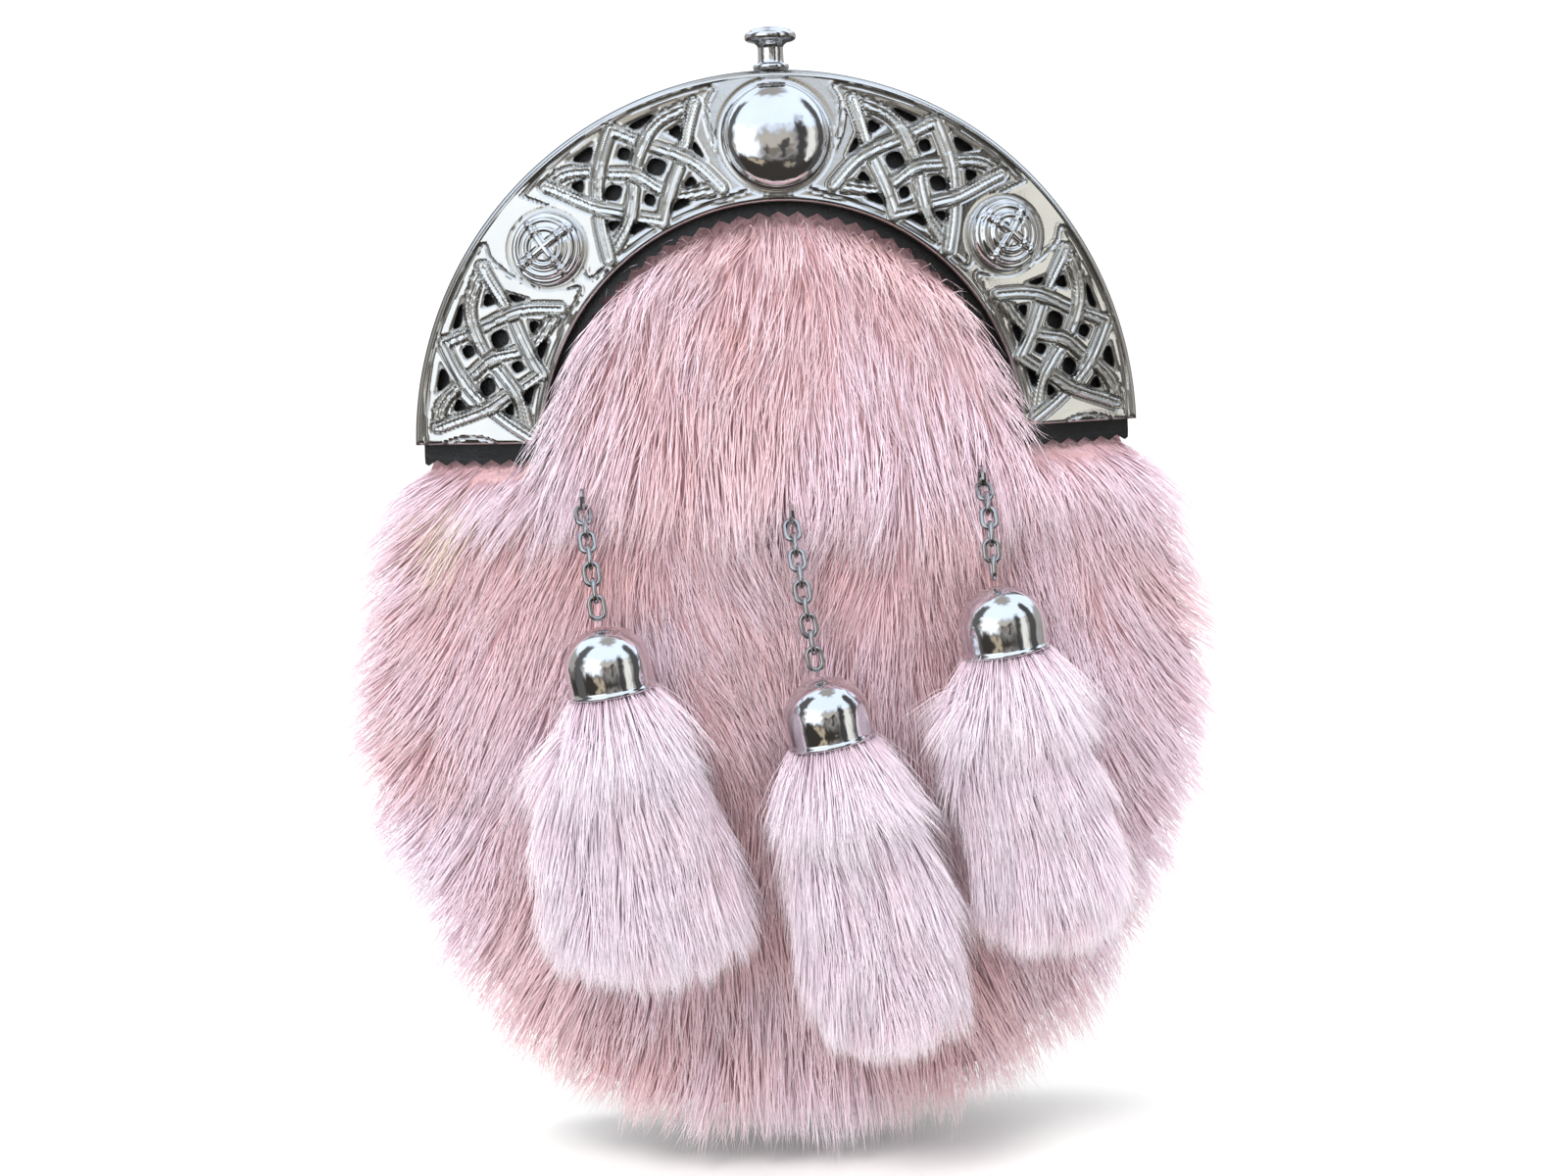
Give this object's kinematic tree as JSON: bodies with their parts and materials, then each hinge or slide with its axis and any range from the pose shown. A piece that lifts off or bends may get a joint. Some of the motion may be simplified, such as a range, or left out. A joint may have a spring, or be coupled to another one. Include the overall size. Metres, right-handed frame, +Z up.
{
  "type": "sporran pouch",
  "caption": "Round fur-fronted dress pouch with a pierced half-ring metal cantle, a leather bag behind, and fur tassels hung on chains from bell caps.",
  "frame": {"origin": "middle of the strap's line through the two belt loops, behind the bag", "axes": "+Z up as worn, the fur front faces -Y, +X is to the right as seen from the front"},
  "size_m": [0.1992, 0.0919, 0.2572],
  "materials": {
    "cantle_metal": "cast and plated, bright on the raised lines and satin in the engraving",
    "polished_metal": "mirror polished plating with fine handling marks",
    "chain_metal": "bright plated wire",
    "black_leather": "fine pebbled black with a pinked edge",
    "bag_leather": "smooth-grained black leather with stitched edges",
    "body_fur": "long soft rabbit hair, warm pink with paler tips",
    "tassel_fur": "long soft rabbit hair, lilac pink with near-white tips"
  },
  "bodies": {
    "root": {"cantle": "cantle_metal", "cantle_backing": "black_leather", "centre_dome": "polished_metal", "boss_left": "polished_metal", "boss_right": "polished_metal", "knob": "polished_metal", "fur_front": "body_fur", "gusset": "bag_leather", "back_panel": "bag_leather", "back_flap": "bag_leather", "flap_stud": "polished_metal", "belt_loop_left": "bag_leather", "belt_loop_right": "bag_leather", "chain_left_link_1": "chain_metal", "chain_left_link_2": "chain_metal", "chain_left_link_3": "chain_metal", "chain_left_link_4": "chain_metal", "chain_left_link_5": "chain_metal", "chain_left_link_6": "chain_metal", "chain_left_link_7": "chain_metal", "chain_left_ring": "chain_metal", "bell_cap_left": "polished_metal", "tassel_left": "tassel_fur", "chain_middle_link_1": "chain_metal", "chain_middle_link_2": "chain_metal", "chain_middle_link_3": "chain_metal", "chain_middle_link_4": "chain_metal", "chain_middle_link_5": "chain_metal", "chain_middle_link_6": "chain_metal", "chain_middle_link_7": "chain_metal", "chain_middle_link_8": "chain_metal", "chain_middle_link_9": "chain_metal", "chain_middle_ring": "chain_metal", "bell_cap_middle": "polished_metal", "tassel_middle": "tassel_fur", "chain_right_link_1": "chain_metal", "chain_right_link_2": "chain_metal", "chain_right_link_3": "chain_metal", "chain_right_link_4": "chain_metal", "chain_right_link_5": "chain_metal", "chain_right_link_6": "chain_metal", "chain_right_ring": "chain_metal", "bell_cap_right": "polished_metal", "tassel_right": "tassel_fur"}
  },
  "joints": []
}
